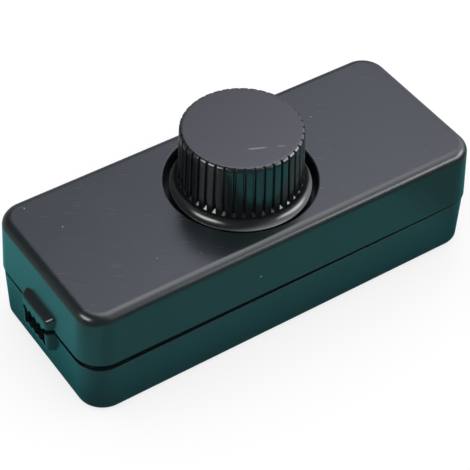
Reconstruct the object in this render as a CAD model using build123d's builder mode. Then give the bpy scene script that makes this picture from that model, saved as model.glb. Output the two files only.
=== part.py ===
from build123d import *
import os
from math import cos, radians, sin

# Rotary dimmer for a cord: a two-part moulded case, a ribbed knob on a
# potentiometer, and a circuit board. Millimetres. The origin is the centre of
# the case's underside, +X along the case, +Z up through the knob.

# Case
case_length = 85.0
case_width = 35.0
case_height = 23.2
seam_z = 11.4
corner_radius = 5.4
wall = 2.0
draft_angle = 1.4
upper_draft_angle = 3.0
top_fillet = 1.9
bottom_fillet = 1.0
lower_rim_z = 10.7         # top edge of the lower cover's wall
lower_step = 0.18          # the lower cover's outline is this much inside the upper's
floor_top = 2.0
ceiling_z = 21.2
tongue_outset = 1.15       # outer face of the rim tongue, in from the case outline
tongue_height = 1.9
rim_recess_inset = 1.0
rim_recess_height = 2.4
seam_gap = 0.12            # closed seam, at the +X +Y corner
upper_rim_z = 11.365       # lower edge of the upper cover, which stands open towards the -X -Y corner
seam_slope_x = 0.0118
seam_slope_y = 0.0186

# Cord inlet on each end wall
boss_out = 1.15
boss_half_width = 4.8
boss_front_half_width = 4.3
boss_top, boss_front_top = 3.05, 2.4
boss_bottom, boss_front_bottom = -5.2, -4.9
slot_half_width = 3.6
slot_top, slot_bottom = 0.3, -4.1
tooth_count = 4
tooth_pitch = 1.65
upper_tooth = 0.9
lower_tooth = 0.6

# Recess under the knob
well_radius = 14.15
well_floor_top = 19.8
well_floor_bottom = 18.2
well_wall = 1.6
bush_hole_radius = 3.6

# Knob
knob_top = case_height + 12.15
knob_bottom = 20.4
rib_radius_top = 11.2
rib_radius_foot = 11.55
rib_foot_z = case_height + 1.1
rib_count = 40
groove_depth = 0.52
groove_mouth = 0.6
groove_root = 0.4
crest_round = 0.14
rib_chamfer = 0.42
flange_radius = 13.08
lip_z = case_height - 0.92
knob_cavity_radius = 8.9
knob_cavity_top = 33.0
hub_radius = 5.0
hub_bottom = 24.8
web_thickness = 1.2

# Potentiometer
shaft_radius = 3.0
shaft_top = 32.0
shaft_flat = 1.5
shaft_flat_bottom = 24.4
spindle_radius = 2.5
spindle_bottom = 10.2
rotor_top = 15.0
rotor_radius = 6.8
lug_radius = 7.6
lug_half_angle = 8.0
stop_half_angle = 21.5
can_radius = 8.25
can_wall = 0.4
can_bottom = 9.7
plate_bottom = 16.8
bush_radius = 3.5
bush_bore_radius = 3.05
bush_top = 23.2
wafer_bottom = 15.8
terminal_y = -11.45
terminal_pitch = 5.0
nut_across_flats = 10.0
washer_radius = 5.6

# Board
board_length = 60.0
board_width = 28.8
board_bottom = 6.0
board_top = 7.6
standoff_x, standoff_y = 27.5, 12.0
standoff_radius = 2.4

# Case screws
post_x, post_y = 36.6, 11.6
lower_post_radius = 4.2
upper_post_radius = 3.4
post_joint_z = 9.0
pilot_radius = 1.25
clearance_radius = 1.6
head_radius = 2.8
counterbore_radius = 3.0
counterbore_depth = 3.0

# Terminal blocks
block_inner_x, block_outer_x = 21.8, 29.8
block_half_width = 5.1
block_top = 17.6
way_y = 2.54

os.makedirs("parts", exist_ok=True)


# ---------------------------------------------------------------- cord inlet
# The raised boss on one end wall, +X end, drawn over the full height. It is a
# low truncated pyramid with rounded edges.
with BuildPart() as inlet_boss:
    slope = (boss_half_width - boss_front_half_width) / boss_out
    back_in = 0.6
    with BuildSketch(Plane(origin=(case_length / 2 - back_in, 0, seam_z), x_dir=(0, 1, 0), z_dir=(1, 0, 0))):
        with Locations((0, (boss_top + boss_bottom) / 2 + 0.3 * back_in)):
            Rectangle(2 * (boss_half_width + slope * back_in), boss_top - boss_bottom + 1.13 * back_in)
    with BuildSketch(Plane(origin=(case_length / 2 + boss_out, 0, seam_z), x_dir=(0, 1, 0), z_dir=(1, 0, 0))):
        with Locations((0, (boss_front_top + boss_front_bottom) / 2)):
            Rectangle(2 * boss_front_half_width, boss_front_top - boss_front_bottom)
    loft()
    fillet(inlet_boss.faces().sort_by(Axis.X)[-1].edges(), 0.35)

# The opening through the boss and wall, with toothed upper and lower jaws.
jaw_left = -slot_half_width
with BuildPart() as inlet_opening:
    with BuildSketch(Plane(origin=(case_length / 2 - 3.2, 0, seam_z), x_dir=(0, 1, 0), z_dir=(1, 0, 0))):
        with BuildLine():
            pts = [(-slot_half_width, 3.0), (-slot_half_width, slot_bottom)]
            start = -tooth_pitch * tooth_count / 2
            pts.append((start, slot_bottom))
            for i in range(tooth_count):
                pts.append((start + (i + 0.5) * tooth_pitch, slot_bottom + lower_tooth))
                pts.append((start + (i + 1) * tooth_pitch, slot_bottom))
            pts += [(slot_half_width, slot_bottom), (slot_half_width, 3.0)]
            Polyline(*pts, close=True)
        make_face()
    extrude(amount=5.2)

# The upper jaw, which reaches down into the lower cover's opening.
with BuildPart() as inlet_comb:
    with BuildSketch(Plane(origin=(case_length / 2 - 1.9, 0, seam_z), x_dir=(0, 1, 0), z_dir=(1, 0, 0))):
        with BuildLine():
            side = slot_half_width - 0.12
            pts = [(-side, 1.6), (-side, slot_top)]
            start = -tooth_pitch * tooth_count / 2
            pts.append((start, slot_top))
            for i in range(tooth_count):
                pts.append((start + (i + 0.5) * tooth_pitch, slot_top - upper_tooth))
                pts.append((start + (i + 1) * tooth_pitch, slot_top))
            pts += [(side, slot_top), (side, 1.6)]
            Polyline(*pts, close=True)
        make_face()
    extrude(amount=1.9 + boss_out - 0.1)


# --------------------------------------------------------------- lower cover
with BuildPart() as lower_cover:
    with BuildSketch(Plane(origin=(0, 0, seam_z), x_dir=(1, 0, 0), z_dir=(0, 0, -1))):
        RectangleRounded(case_length - 2 * lower_step, case_width - 2 * lower_step, corner_radius - lower_step)
    extrude(amount=seam_z, taper=draft_angle)
    fillet(lower_cover.faces().sort_by(Axis.Z)[0].edges(), bottom_fillet)
    # half of each inlet boss
    add(inlet_boss.part)
    add(mirror(inlet_boss.part, about=Plane.YZ, mode=Mode.PRIVATE))
    split(bisect_by=Plane.XY.offset(lower_rim_z), keep=Keep.BOTTOM)
    # inside
    with BuildSketch(Plane(origin=(0, 0, seam_z), x_dir=(1, 0, 0), z_dir=(0, 0, -1))):
        RectangleRounded(case_length - 2 * wall, case_width - 2 * wall, corner_radius - wall)
    extrude(amount=seam_z - floor_top, taper=draft_angle, mode=Mode.SUBTRACT)
    # rim tongue
    with BuildSketch(Plane.XY.offset(seam_z - 1.2)):
        RectangleRounded(case_length - 2 * tongue_outset, case_width - 2 * tongue_outset, corner_radius - tongue_outset)
        RectangleRounded(case_length - 2 * wall, case_width - 2 * wall, corner_radius - wall, mode=Mode.SUBTRACT)
    extrude(amount=1.2 + tongue_height)
    # screw posts
    with BuildSketch(Plane.XY.offset(1.0)):
        with GridLocations(2 * post_x, 2 * post_y, 2, 2):
            Circle(lower_post_radius)
    extrude(amount=post_joint_z - 1.0)
    with Locations(Plane(origin=(0, 0, 0), x_dir=(1, 0, 0), z_dir=(0, 0, -1))):
        with GridLocations(2 * post_x, 2 * post_y, 2, 2):
            CounterBoreHole(clearance_radius, counterbore_radius, counterbore_depth, depth=post_joint_z + 0.5)
    # board standoffs, two with a locating peg and two with a pilot hole
    with BuildSketch(Plane.XY.offset(1.0)):
        with GridLocations(2 * standoff_x, 2 * standoff_y, 2, 2):
            Circle(standoff_radius)
    extrude(amount=board_bottom - 1.0)
    with BuildSketch(Plane.XY.offset(board_bottom - 1.0)):
        with Locations((standoff_x, standoff_y), (-standoff_x, -standoff_y)):
            Circle(1.1)
    extrude(amount=2.2)
    with BuildSketch(Plane.XY.offset(board_bottom)):
        with Locations((standoff_x, -standoff_y), (-standoff_x, standoff_y)):
            Circle(0.9)
    extrude(amount=-3.5, mode=Mode.SUBTRACT)
    # inlet openings
    add(inlet_opening.part, mode=Mode.SUBTRACT)
    add(mirror(inlet_opening.part, about=Plane.YZ, mode=Mode.PRIVATE), mode=Mode.SUBTRACT)
lower_cover.part.label = "lower_cover"
export_step(lower_cover.part, "parts/lower_cover.step")


# --------------------------------------------------------------- upper cover
with BuildPart() as upper_cover:
    with BuildSketch(Plane.XY.offset(seam_z)):
        RectangleRounded(case_length, case_width, corner_radius)
    extrude(amount=case_height - seam_z, taper=upper_draft_angle)
    fillet(upper_cover.faces().sort_by(Axis.Z)[-1].edges(), top_fillet)
    with BuildSketch(Plane.XY.offset(lower_rim_z)):
        RectangleRounded(case_length, case_width, corner_radius)
    extrude(amount=seam_z - lower_rim_z)
    # half of each inlet boss
    add(inlet_boss.part)
    add(mirror(inlet_boss.part, about=Plane.YZ, mode=Mode.PRIVATE))
    # the lower edge: closed at the +X +Y corner, open towards the -X -Y corner
    split(bisect_by=Plane.XY.offset(lower_rim_z + seam_gap), keep=Keep.TOP)
    split(
        bisect_by=Plane(origin=(0, 0, upper_rim_z), x_dir=(1, 0, -seam_slope_x), z_dir=(seam_slope_x, seam_slope_y, 1)),
        keep=Keep.TOP,
    )
    # inside
    with BuildSketch(Plane.XY.offset(seam_z)):
        RectangleRounded(case_length - 2 * wall, case_width - 2 * wall, corner_radius - wall)
    extrude(amount=ceiling_z - seam_z, taper=draft_angle, mode=Mode.SUBTRACT)
    with BuildSketch(Plane.XY.offset(lower_rim_z)):
        RectangleRounded(
            case_length - 2 * rim_recess_inset, case_width - 2 * rim_recess_inset, corner_radius - rim_recess_inset
        )
    extrude(amount=seam_z + rim_recess_height - lower_rim_z, mode=Mode.SUBTRACT)
    # the wall above the inlet slots
    with BuildSketch(Plane.XY.offset(lower_rim_z)):
        with GridLocations(case_length - 1.2, 1, 2, 1):
            Rectangle(5.2, 2 * slot_half_width)
    extrude(amount=seam_z + slot_top - lower_rim_z, mode=Mode.SUBTRACT)
    # recess under the knob
    with BuildSketch(Plane.XY.offset(well_floor_bottom)):
        Circle(well_radius + well_wall)
    extrude(amount=ceiling_z - well_floor_bottom + 0.4)
    with BuildSketch(Plane.XY.offset(well_floor_top)):
        Circle(well_radius)
    extrude(amount=case_height - well_floor_top, mode=Mode.SUBTRACT)
    rim_edges = upper_cover.edges().filter_by(GeomType.CIRCLE).filter_by(
        lambda e: abs(e.center().Z - case_height) < 0.01 and abs(e.radius - well_radius) < 0.01
    )
    fillet(rim_edges, 0.3)
    with BuildSketch(Plane.XY.offset(well_floor_bottom)):
        Circle(bush_hole_radius)
        with Locations((7.2, 0)):
            Rectangle(1.2, 2.6)
    extrude(amount=well_floor_top - well_floor_bottom, mode=Mode.SUBTRACT)
    # screw posts
    with BuildSketch(Plane.XY.offset(post_joint_z)):
        with GridLocations(2 * post_x, 2 * post_y, 2, 2):
            Circle(upper_post_radius)
    extrude(amount=ceiling_z - post_joint_z + 0.4)
    with BuildSketch(Plane.XY.offset(post_joint_z)):
        with GridLocations(2 * post_x, 2 * post_y, 2, 2):
            Circle(pilot_radius)
    extrude(amount=8.0, mode=Mode.SUBTRACT)
    # upper jaws of the inlets
    add(inlet_comb.part)
    add(mirror(inlet_comb.part, about=Plane.YZ, mode=Mode.PRIVATE))
upper_cover.part.label = "upper_cover"
export_step(upper_cover.part, "parts/upper_cover.step")


# ---------------------------------------------------------------------- knob
# One groove between two ribs, leaning with the ribs' taper, with rounded rib
# crests and a ramp at its foot.
lean = (rib_radius_foot - rib_radius_top) / (knob_top - rib_foot_z)
groove_start = case_height + 0.8
start_radius = rib_radius_foot + lean * (rib_foot_z - groove_start)
with BuildPart() as groove:
    with BuildSketch(Plane.XY.offset(groove_start)):
        with BuildLine():
            r_root = start_radius - groove_depth
            m, q = groove_mouth / 2, groove_root / 2
            k = crest_round
            Polyline(
                (start_radius + 0.5, -m - k),
                (start_radius + 0.02, -m - k),
                (start_radius - 0.04, -m),
                (start_radius - 0.16, -m + 0.06),
                (r_root + 0.08, -q),
                (r_root, -q + 0.1),
                (r_root, q - 0.1),
                (r_root + 0.08, q),
                (start_radius - 0.16, m - 0.06),
                (start_radius - 0.04, m),
                (start_radius + 0.02, m + k),
                (start_radius + 0.5, m + k),
                close=True,
            )
        make_face()
    extrude(amount=knob_top - groove_start + 1.0, dir=(-lean, 0, 1))
    split(
        bisect_by=Plane(
            origin=(rib_radius_foot - groove_depth, 0, rib_foot_z + 1.1 * groove_depth), x_dir=(0, 1, 0), z_dir=(0.74, 0, 0.673)
        ),
        keep=Keep.TOP,
    )
    split(bisect_by=Plane.XY.offset(rib_foot_z - 0.03), keep=Keep.TOP)

with BuildPart() as knob:
    with BuildSketch(Plane.XZ):
        with BuildLine():
            # the foot flares out in a hollow curve to a thin rounded lip
            lip = (flange_radius - 0.1, lip_z + 0.05)
            Line((0, knob_bottom), (flange_radius, knob_bottom))
            Line((flange_radius, knob_bottom), (flange_radius, lip_z - 0.08))
            ThreePointArc((flange_radius, lip_z - 0.08), (flange_radius - 0.03, lip_z + 0.02), lip)
            ThreePointArc(lip, (11.945, rib_foot_z - 1.217), (rib_radius_foot, rib_foot_z))
            Line((rib_radius_foot, rib_foot_z), (rib_radius_top + lean * rib_chamfer, knob_top - rib_chamfer))
            Line((rib_radius_top + lean * rib_chamfer, knob_top - rib_chamfer), (rib_radius_top - rib_chamfer, knob_top))
            Line((rib_radius_top - rib_chamfer, knob_top), (0, knob_top))
            Line((0, knob_top), (0, knob_bottom))
        make_face()
    revolve(axis=Axis.Z)
    with PolarLocations(0, rib_count, start_angle=360 / rib_count / 2):
        add(groove.part, mode=Mode.SUBTRACT)
    # hollow underside
    with BuildSketch(Plane.XY.offset(knob_bottom)):
        Circle(11.2)
    extrude(amount=2.6, taper=0, mode=Mode.SUBTRACT)
    with BuildSketch(Plane.XY.offset(knob_bottom + 2.0)):
        Circle(knob_cavity_radius + 0.3)
    extrude(amount=knob_cavity_top - knob_bottom - 2.0, taper=1.5, mode=Mode.SUBTRACT)
    # hub and webs
    with BuildSketch(Plane.XY.offset(hub_bottom)):
        Circle(hub_radius)
    extrude(amount=knob_cavity_top - hub_bottom + 0.5)
    with BuildSketch(Plane.XY.offset(hub_bottom + 2.2)):
        with PolarLocations(hub_radius + 2.2, 4, start_angle=45):
            Rectangle(5.4, web_thickness)
    extrude(amount=knob_cavity_top - hub_bottom - 2.2 + 0.5)
    # D bore for the shaft
    with BuildSketch(Plane.XY.offset(hub_bottom)):
        Circle(shaft_radius)
        with Locations((0, shaft_flat + 5)):
            Rectangle(12, 10, mode=Mode.SUBTRACT)
    extrude(amount=shaft_top - hub_bottom, mode=Mode.SUBTRACT)
knob.part.label = "knob"
export_step(knob.part, "parts/knob.step")


# ------------------------------------------------------------- potentiometer
with BuildPart() as potentiometer_shaft:
    with BuildSketch(Plane.XY.offset(spindle_bottom)):
        Circle(spindle_radius)
    extrude(amount=rotor_top - spindle_bottom)
    with BuildSketch(Plane.XY.offset(rotor_top)):
        Circle(shaft_radius)
    extrude(amount=shaft_top - rotor_top)
    chamfer(potentiometer_shaft.faces().sort_by(Axis.Z)[-1].edges(), 0.4)
    # groove for the clip
    with BuildSketch(Plane.XY.offset(bush_top + 0.1)):
        Circle(shaft_radius + 1)
        Circle(spindle_radius, mode=Mode.SUBTRACT)
    extrude(amount=0.6, mode=Mode.SUBTRACT)
    # flat
    with BuildSketch(Plane.XY.offset(shaft_flat_bottom)):
        with Locations((0, shaft_flat + 5)):
            Rectangle(12, 10)
    extrude(amount=shaft_top - shaft_flat_bottom + 1, mode=Mode.SUBTRACT)
potentiometer_shaft.part.label = "potentiometer_shaft"
export_step(potentiometer_shaft.part, "parts/potentiometer_shaft.step")

with BuildPart() as shaft_clip:
    with BuildSketch(Plane.XY.offset(bush_top + 0.15)):
        Circle(4.1)
        Circle(spindle_radius, mode=Mode.SUBTRACT)
        with Locations((0, -4)):
            Rectangle(3.0, 6.0, mode=Mode.SUBTRACT)
    extrude(amount=0.5)
shaft_clip.part.label = "shaft_clip"
export_step(shaft_clip.part, "parts/shaft_clip.step")

with BuildPart() as potentiometer_rotor:
    with BuildSketch(Plane.XY.offset(13.4)):
        Circle(rotor_radius)
        with BuildLine():
            a = radians(lug_half_angle)
            Polyline(
                (5.0 * sin(-a), 5.0 * cos(a)),
                (lug_radius * sin(-a), lug_radius * cos(a)),
                (lug_radius * sin(a), lug_radius * cos(a)),
                (5.0 * sin(a), 5.0 * cos(a)),
                close=True,
            )
        make_face()
        Circle(spindle_radius, mode=Mode.SUBTRACT)
    extrude(amount=rotor_top - 13.4)
    with BuildSketch(Plane.XY.offset(12.2)):
        Circle(3.6)
        Circle(spindle_radius, mode=Mode.SUBTRACT)
    extrude(amount=1.2)
potentiometer_rotor.part.label = "potentiometer_rotor"
export_step(potentiometer_rotor.part, "parts/potentiometer_rotor.step")

# The spring contact: a thin ring on the rotor with three raised contact points.
with BuildPart() as potentiometer_wiper:
    with BuildSketch(Plane.XY.offset(rotor_top)):
        Circle(6.3)
        Circle(3.3, mode=Mode.SUBTRACT)
        with Locations((0, -5)):
            Rectangle(4.0, 5.0, mode=Mode.SUBTRACT)
    extrude(amount=0.2)
    with BuildSketch(Plane.XY.offset(rotor_top + 0.2)):
        with PolarLocations(5.2, 3, start_angle=60, angular_range=60):
            Circle(0.55)
    extrude(amount=0.54, taper=12)
potentiometer_wiper.part.label = "potentiometer_wiper"
export_step(potentiometer_wiper.part, "parts/potentiometer_wiper.step")

# The can, open at the top, with the stop for the rotor's lug pressed in on -Y
# and a window there for the wafer and its terminals.
with BuildPart() as potentiometer_housing:
    with BuildSketch(Plane.XY.offset(can_bottom)):
        Circle(can_radius)
    extrude(amount=plate_bottom - can_bottom)
    fillet(potentiometer_housing.faces().sort_by(Axis.Z)[0].edges(), 0.3)
    with BuildSketch(Plane.XY.offset(can_bottom + can_wall)):
        Circle(can_radius - can_wall)
    extrude(amount=plate_bottom - can_bottom, mode=Mode.SUBTRACT)
    with BuildSketch(Plane.XY.offset(13.0)):
        with BuildLine():
            b = radians(stop_half_angle)
            CenterArc((0, 0), 8.0, 270 - stop_half_angle, 2 * stop_half_angle)
            CenterArc((0, 0), 6.95, 270 - stop_half_angle, 2 * stop_half_angle)
            Line((-8.0 * sin(b), -8.0 * cos(b)), (-6.95 * sin(b), -6.95 * cos(b)))
            Line((8.0 * sin(b), -8.0 * cos(b)), (6.95 * sin(b), -6.95 * cos(b)))
        make_face()
    extrude(amount=2.0)
    with BuildSketch(Plane.XY.offset(15.2)):
        with Locations((0, -9)):
            Rectangle(13.2, 8.0)
    extrude(amount=3.0, mode=Mode.SUBTRACT)
potentiometer_housing.part.label = "potentiometer_housing"
export_step(potentiometer_housing.part, "parts/potentiometer_housing.step")

with BuildPart() as potentiometer_track:
    with BuildSketch(Plane.XY.offset(wafer_bottom)):
        Circle(can_radius - can_wall - 0.05)
        with Locations((0, -8.8)):
            Rectangle(12.8, 5.6)
        Circle(3.6, mode=Mode.SUBTRACT)
    extrude(amount=plate_bottom - wafer_bottom)
potentiometer_track.part.label = "potentiometer_track"
export_step(potentiometer_track.part, "parts/potentiometer_track.step")

with BuildPart() as potentiometer_terminals:
    for i in (-1, 0, 1):
        with BuildSketch(Plane.YZ.offset(i * terminal_pitch - 0.6)):
            with BuildLine():
                Polyline(
                    (terminal_y + 0.15, 5.0),
                    (terminal_y + 0.15, 15.5),
                    (-8.6, 15.5),
                    (-8.6, wafer_bottom),
                    (terminal_y - 0.15, wafer_bottom),
                    (terminal_y - 0.15, 5.0),
                    close=True,
                )
            make_face()
        extrude(amount=1.2)
potentiometer_terminals.part.label = "potentiometer_terminals"
export_step(potentiometer_terminals.part, "parts/potentiometer_terminals.step")

with BuildPart() as potentiometer_bushing:
    with BuildSketch(Plane.XY.offset(plate_bottom)):
        Circle(can_radius)
    extrude(amount=well_floor_bottom - plate_bottom)
    with BuildSketch(Plane.XY.offset(well_floor_bottom)):
        Circle(bush_radius)
        with Locations((7.2, 0)):
            Rectangle(1.0, 2.4)
    extrude(amount=1.3)
    with BuildSketch(Plane.XY.offset(well_floor_bottom + 1.3)):
        Circle(bush_radius)
    extrude(amount=bush_top - well_floor_bottom - 1.3)
    chamfer(potentiometer_bushing.faces().sort_by(Axis.Z)[-1].edges(), 0.25)
    with BuildSketch(Plane.XY.offset(plate_bottom)):
        Circle(bush_bore_radius)
    extrude(amount=bush_top - plate_bottom, mode=Mode.SUBTRACT)
potentiometer_bushing.part.label = "potentiometer_bushing"
export_step(potentiometer_bushing.part, "parts/potentiometer_bushing.step")

with BuildPart() as potentiometer_washer:
    with BuildSketch(Plane.XY.offset(well_floor_top)):
        Circle(washer_radius)
        Circle(bush_radius, mode=Mode.SUBTRACT)
    extrude(amount=0.5)
potentiometer_washer.part.label = "potentiometer_washer"
export_step(potentiometer_washer.part, "parts/potentiometer_washer.step")

with BuildPart() as potentiometer_nut:
    with BuildSketch(Plane.XY.offset(well_floor_top + 0.5)):
        RegularPolygon(radius=nut_across_flats / 2, side_count=6, major_radius=False)
        Circle(bush_radius, mode=Mode.SUBTRACT)
    extrude(amount=2.0)
potentiometer_nut.part.label = "potentiometer_nut"
export_step(potentiometer_nut.part, "parts/potentiometer_nut.step")


# --------------------------------------------------------------------- board
with BuildPart() as circuit_board:
    with BuildSketch(Plane.XY.offset(board_bottom)):
        RectangleRounded(board_length, board_width, 1.0)
        with GridLocations(2 * standoff_x, 2 * standoff_y, 2, 2):
            Circle(1.25, mode=Mode.SUBTRACT)
        with GridLocations(terminal_pitch, 1, 3, 1):
            with Locations((0, terminal_y)):
                Rectangle(1.5, 0.7, mode=Mode.SUBTRACT)
        with GridLocations(2 * 25.0, 2 * way_y, 2, 2):
            Circle(0.6, mode=Mode.SUBTRACT)
        with Locations((-17.54, -10.0), (-15.0, -10.0), (-12.46, -10.0)):
            Circle(0.6, mode=Mode.SUBTRACT)
    extrude(amount=board_top - board_bottom)
circuit_board.part.label = "circuit_board"
export_step(circuit_board.part, "parts/circuit_board.step")

with BuildPart() as board_screws:
    for sx, sy in ((standoff_x, -standoff_y), (-standoff_x, standoff_y)):
        with BuildSketch(Plane.XY.offset(board_top)):
            with Locations((sx, sy)):
                Circle(2.0)
        extrude(amount=1.4)
        with BuildSketch(Plane.XY.offset(board_top)):
            with Locations((sx, sy)):
                Circle(0.9)
        extrude(amount=-4.6)
        with BuildSketch(Plane.XY.offset(board_top + 1.4)):
            with Locations((sx, sy)):
                Rectangle(2.4, 0.5)
                Rectangle(0.5, 2.4)
        extrude(amount=-0.8, mode=Mode.SUBTRACT)
board_screws.part.label = "board_screws"
export_step(board_screws.part, "parts/board_screws.step")

with BuildPart() as case_screws:
    with BuildSketch(Plane.XY.offset(counterbore_depth)):
        with GridLocations(2 * post_x, 2 * post_y, 2, 2):
            Circle(head_radius)
    extrude(amount=-2.2)
    fillet(case_screws.faces().group_by(Axis.Z)[0].edges(), 0.5)
    with BuildSketch(Plane.XY.offset(counterbore_depth)):
        with GridLocations(2 * post_x, 2 * post_y, 2, 2):
            Circle(pilot_radius)
    extrude(amount=12.0)
    with BuildSketch(Plane.XY.offset(counterbore_depth - 2.2)):
        with GridLocations(2 * post_x, 2 * post_y, 2, 2):
            Rectangle(3.4, 0.8)
            Rectangle(0.8, 3.4)
    extrude(amount=1.3, mode=Mode.SUBTRACT)
case_screws.part.label = "case_screws"
export_step(case_screws.part, "parts/case_screws.step")


# ------------------------------------------------------------ heat and power
# A plate on two feet, beside the potentiometer.
with BuildPart() as heat_sink:
    with BuildSketch(Plane.XZ.offset(7.6)):
        with BuildLine():
            Polyline(
                (-20.8, board_top), (-19.6, board_top), (-19.6, 9.2), (-10.4, 9.2), (-10.4, board_top), (-9.2, board_top),
                (-9.2, 10.4), (-20.8, 10.4), close=True,
            )
        make_face()
    extrude(amount=-16.0)
    with BuildSketch(Plane.XY.offset(10.4)):
        with Locations((-15.0, 5.4)):
            Circle(1.6)
    extrude(amount=-2.0, mode=Mode.SUBTRACT)
heat_sink.part.label = "heat_sink"
export_step(heat_sink.part, "parts/heat_sink.step")

# The triac lies on the plate: tab with a hole, moulded body, three bent legs.
with BuildPart() as triac:
    with BuildSketch(Plane.XY.offset(10.4)):
        with Locations((-15.0, 0.35)):
            Rectangle(10.0, 15.7)
        with Locations((-15.0, 5.4)):
            Circle(1.85, mode=Mode.SUBTRACT)
    extrude(amount=1.3)
    with BuildSketch(Plane.XY.offset(10.4)):
        with Locations((-15.0, -2.9)):
            Rectangle(10.2, 9.2)
    extrude(amount=4.5, taper=3)
    for i in (-1, 0, 1):
        with BuildSketch(Plane.YZ.offset(-15.0 + i * 2.54 - 0.4)):
            with BuildLine():
                Polyline(
                    (-7.3, 12.6), (-10.25, 12.6), (-10.25, 5.2), (-9.75, 5.2), (-9.75, 12.1), (-7.3, 12.1), close=True
                )
            make_face()
        extrude(amount=0.8)
triac.part.label = "triac"
export_step(triac.part, "parts/triac.step")

with BuildPart() as triac_screw:
    with BuildSketch(Plane.XY.offset(11.7)):
        with Locations((-15.0, 5.4)):
            Circle(2.75)
    extrude(amount=2.0)
    with BuildSketch(Plane.XY.offset(11.7)):
        with Locations((-15.0, 5.4)):
            Circle(1.5)
    extrude(amount=-3.9)
    with BuildSketch(Plane.XY.offset(13.7)):
        with Locations((-15.0, 5.4)):
            Rectangle(3.6, 0.8)
            Rectangle(0.8, 3.6)
    extrude(amount=-1.1, mode=Mode.SUBTRACT)
triac_screw.part.label = "triac_screw"
export_step(triac_screw.part, "parts/triac_screw.step")

with BuildPart() as triac_nut:
    with BuildSketch(Plane.XY.offset(9.2)):
        with Locations((-15.0, 5.4)):
            RegularPolygon(radius=2.75, side_count=6, major_radius=False)
            Circle(1.5, mode=Mode.SUBTRACT)
    extrude(amount=-1.3)
triac_nut.part.label = "triac_nut"
export_step(triac_nut.part, "parts/triac_nut.step")

with BuildPart() as suppression_capacitor:
    with BuildSketch(Plane.XY.offset(board_top)):
        with Locations((13.8, -7.8)):
            RectangleRounded(5.0, 12.5, 0.5)
    extrude(amount=10.4)
    chamfer(suppression_capacitor.faces().sort_by(Axis.Z)[-1].edges(), 0.4)
suppression_capacitor.part.label = "suppression_capacitor"
export_step(suppression_capacitor.part, "parts/suppression_capacitor.step")

with BuildPart() as timing_capacitor:
    with BuildSketch(Plane.XY.offset(board_top)):
        with Locations((4.6, 11.6)):
            RectangleRounded(7.2, 2.5, 0.5)
    extrude(amount=6.5)
    chamfer(timing_capacitor.faces().sort_by(Axis.Z)[-1].edges(), 0.3)
timing_capacitor.part.label = "timing_capacitor"
export_step(timing_capacitor.part, "parts/timing_capacitor.step")

# Choke: a ferrite bobbin standing on the board and its coil.
choke_x, choke_y = 14.9, 6.6
with BuildPart() as choke_core:
    with BuildSketch(Plane.XZ):
        with BuildLine():
            Polyline(
                (0, board_top), (5.0, board_top), (5.0, board_top + 1.3), (2.4, board_top + 1.3),
                (2.4, board_top + 8.7), (5.0, board_top + 8.7), (5.0, board_top + 10.0), (0, board_top + 10.0),
                close=True,
            )
        make_face()
    revolve(axis=Axis.Z)
choke_core_placed = choke_core.part.moved(Location((choke_x, choke_y, 0)))
choke_core_placed.label = "choke_core"
export_step(choke_core_placed, "parts/choke_core.step")

with BuildPart() as choke_winding:
    with BuildSketch(Plane.XY.offset(board_top + 1.3)):
        with Locations((choke_x, choke_y)):
            Circle(4.5)
            Circle(2.4, mode=Mode.SUBTRACT)
    extrude(amount=7.4)
choke_winding.part.label = "choke_winding"
export_step(choke_winding.part, "parts/choke_winding.step")

# The diac lies under the potentiometer, its legs bent into the board.
with BuildPart() as diac:
    with BuildSketch(Plane.YZ.offset(-2.0)):
        with Locations((3.0, board_top + 1.0)):
            Circle(0.95)
    extrude(amount=4.0)
    with BuildSketch(Plane.YZ.offset(-4.0)):
        with Locations((3.0, board_top + 1.0)):
            Circle(0.25)
    extrude(amount=8.0)
diac.part.label = "diac"
export_step(diac.part, "parts/diac.step")

with BuildPart() as resistors:
    for cx in (-5.4, 4.9):
        with BuildSketch(Plane.YZ.offset(cx - 3.15)):
            with Locations((-13.05, board_top + 1.15)):
                Circle(1.15)
        extrude(amount=6.3)
        with BuildSketch(Plane.YZ.offset(cx - 4.2)):
            with Locations((-13.05, board_top + 1.15)):
                Circle(0.28)
        extrude(amount=8.4)
resistors.part.label = "resistors"
export_step(resistors.part, "parts/resistors.step")

# Glass fuse in two clips, along the back edge of the board.
fuse_y, fuse_z, fuse_mid = 11.4, 11.0, -11.4
with BuildPart() as fuse_tube:
    with BuildSketch(Plane.YZ.offset(fuse_mid - 9.0)):
        with Locations((fuse_y, fuse_z)):
            Circle(2.4)
            Circle(1.7, mode=Mode.SUBTRACT)
    extrude(amount=18.0)
fuse_tube.part.label = "fuse_tube"
export_step(fuse_tube.part, "parts/fuse_tube.step")

with BuildPart() as fuse_caps:
    for side in (-1, 1):
        with BuildSketch(Plane.YZ.offset(fuse_mid + side * 10.0)):
            with Locations((fuse_y, fuse_z)):
                Circle(2.6)
        extrude(amount=-side * 5.0)
        with BuildSketch(Plane.YZ.offset(fuse_mid + side * 9.0)):
            with Locations((fuse_y, fuse_z)):
                Circle(2.4)
        extrude(amount=-side * 4.0, mode=Mode.SUBTRACT)
fuse_caps.part.label = "fuse_caps"
export_step(fuse_caps.part, "parts/fuse_caps.step")

with BuildPart() as fuse_clips:
    for side in (-1, 1):
        with BuildSketch(Plane.YZ.offset(fuse_mid + side * 7.5 - 1.5)):
            with Locations((fuse_y, fuse_z)):
                Circle(3.0)
            with Locations((fuse_y, (board_top + fuse_z - 2.5) / 2)):
                Rectangle(2.4, fuse_z - 2.5 - board_top)
            with Locations((fuse_y, fuse_z)):
                Circle(2.6, mode=Mode.SUBTRACT)
            with Locations((fuse_y, fuse_z + 3.0)):
                Rectangle(3.4, 4.0, mode=Mode.SUBTRACT)
        extrude(amount=3.0)
fuse_clips.part.label = "fuse_clips"
export_step(fuse_clips.part, "parts/fuse_clips.step")


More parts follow.
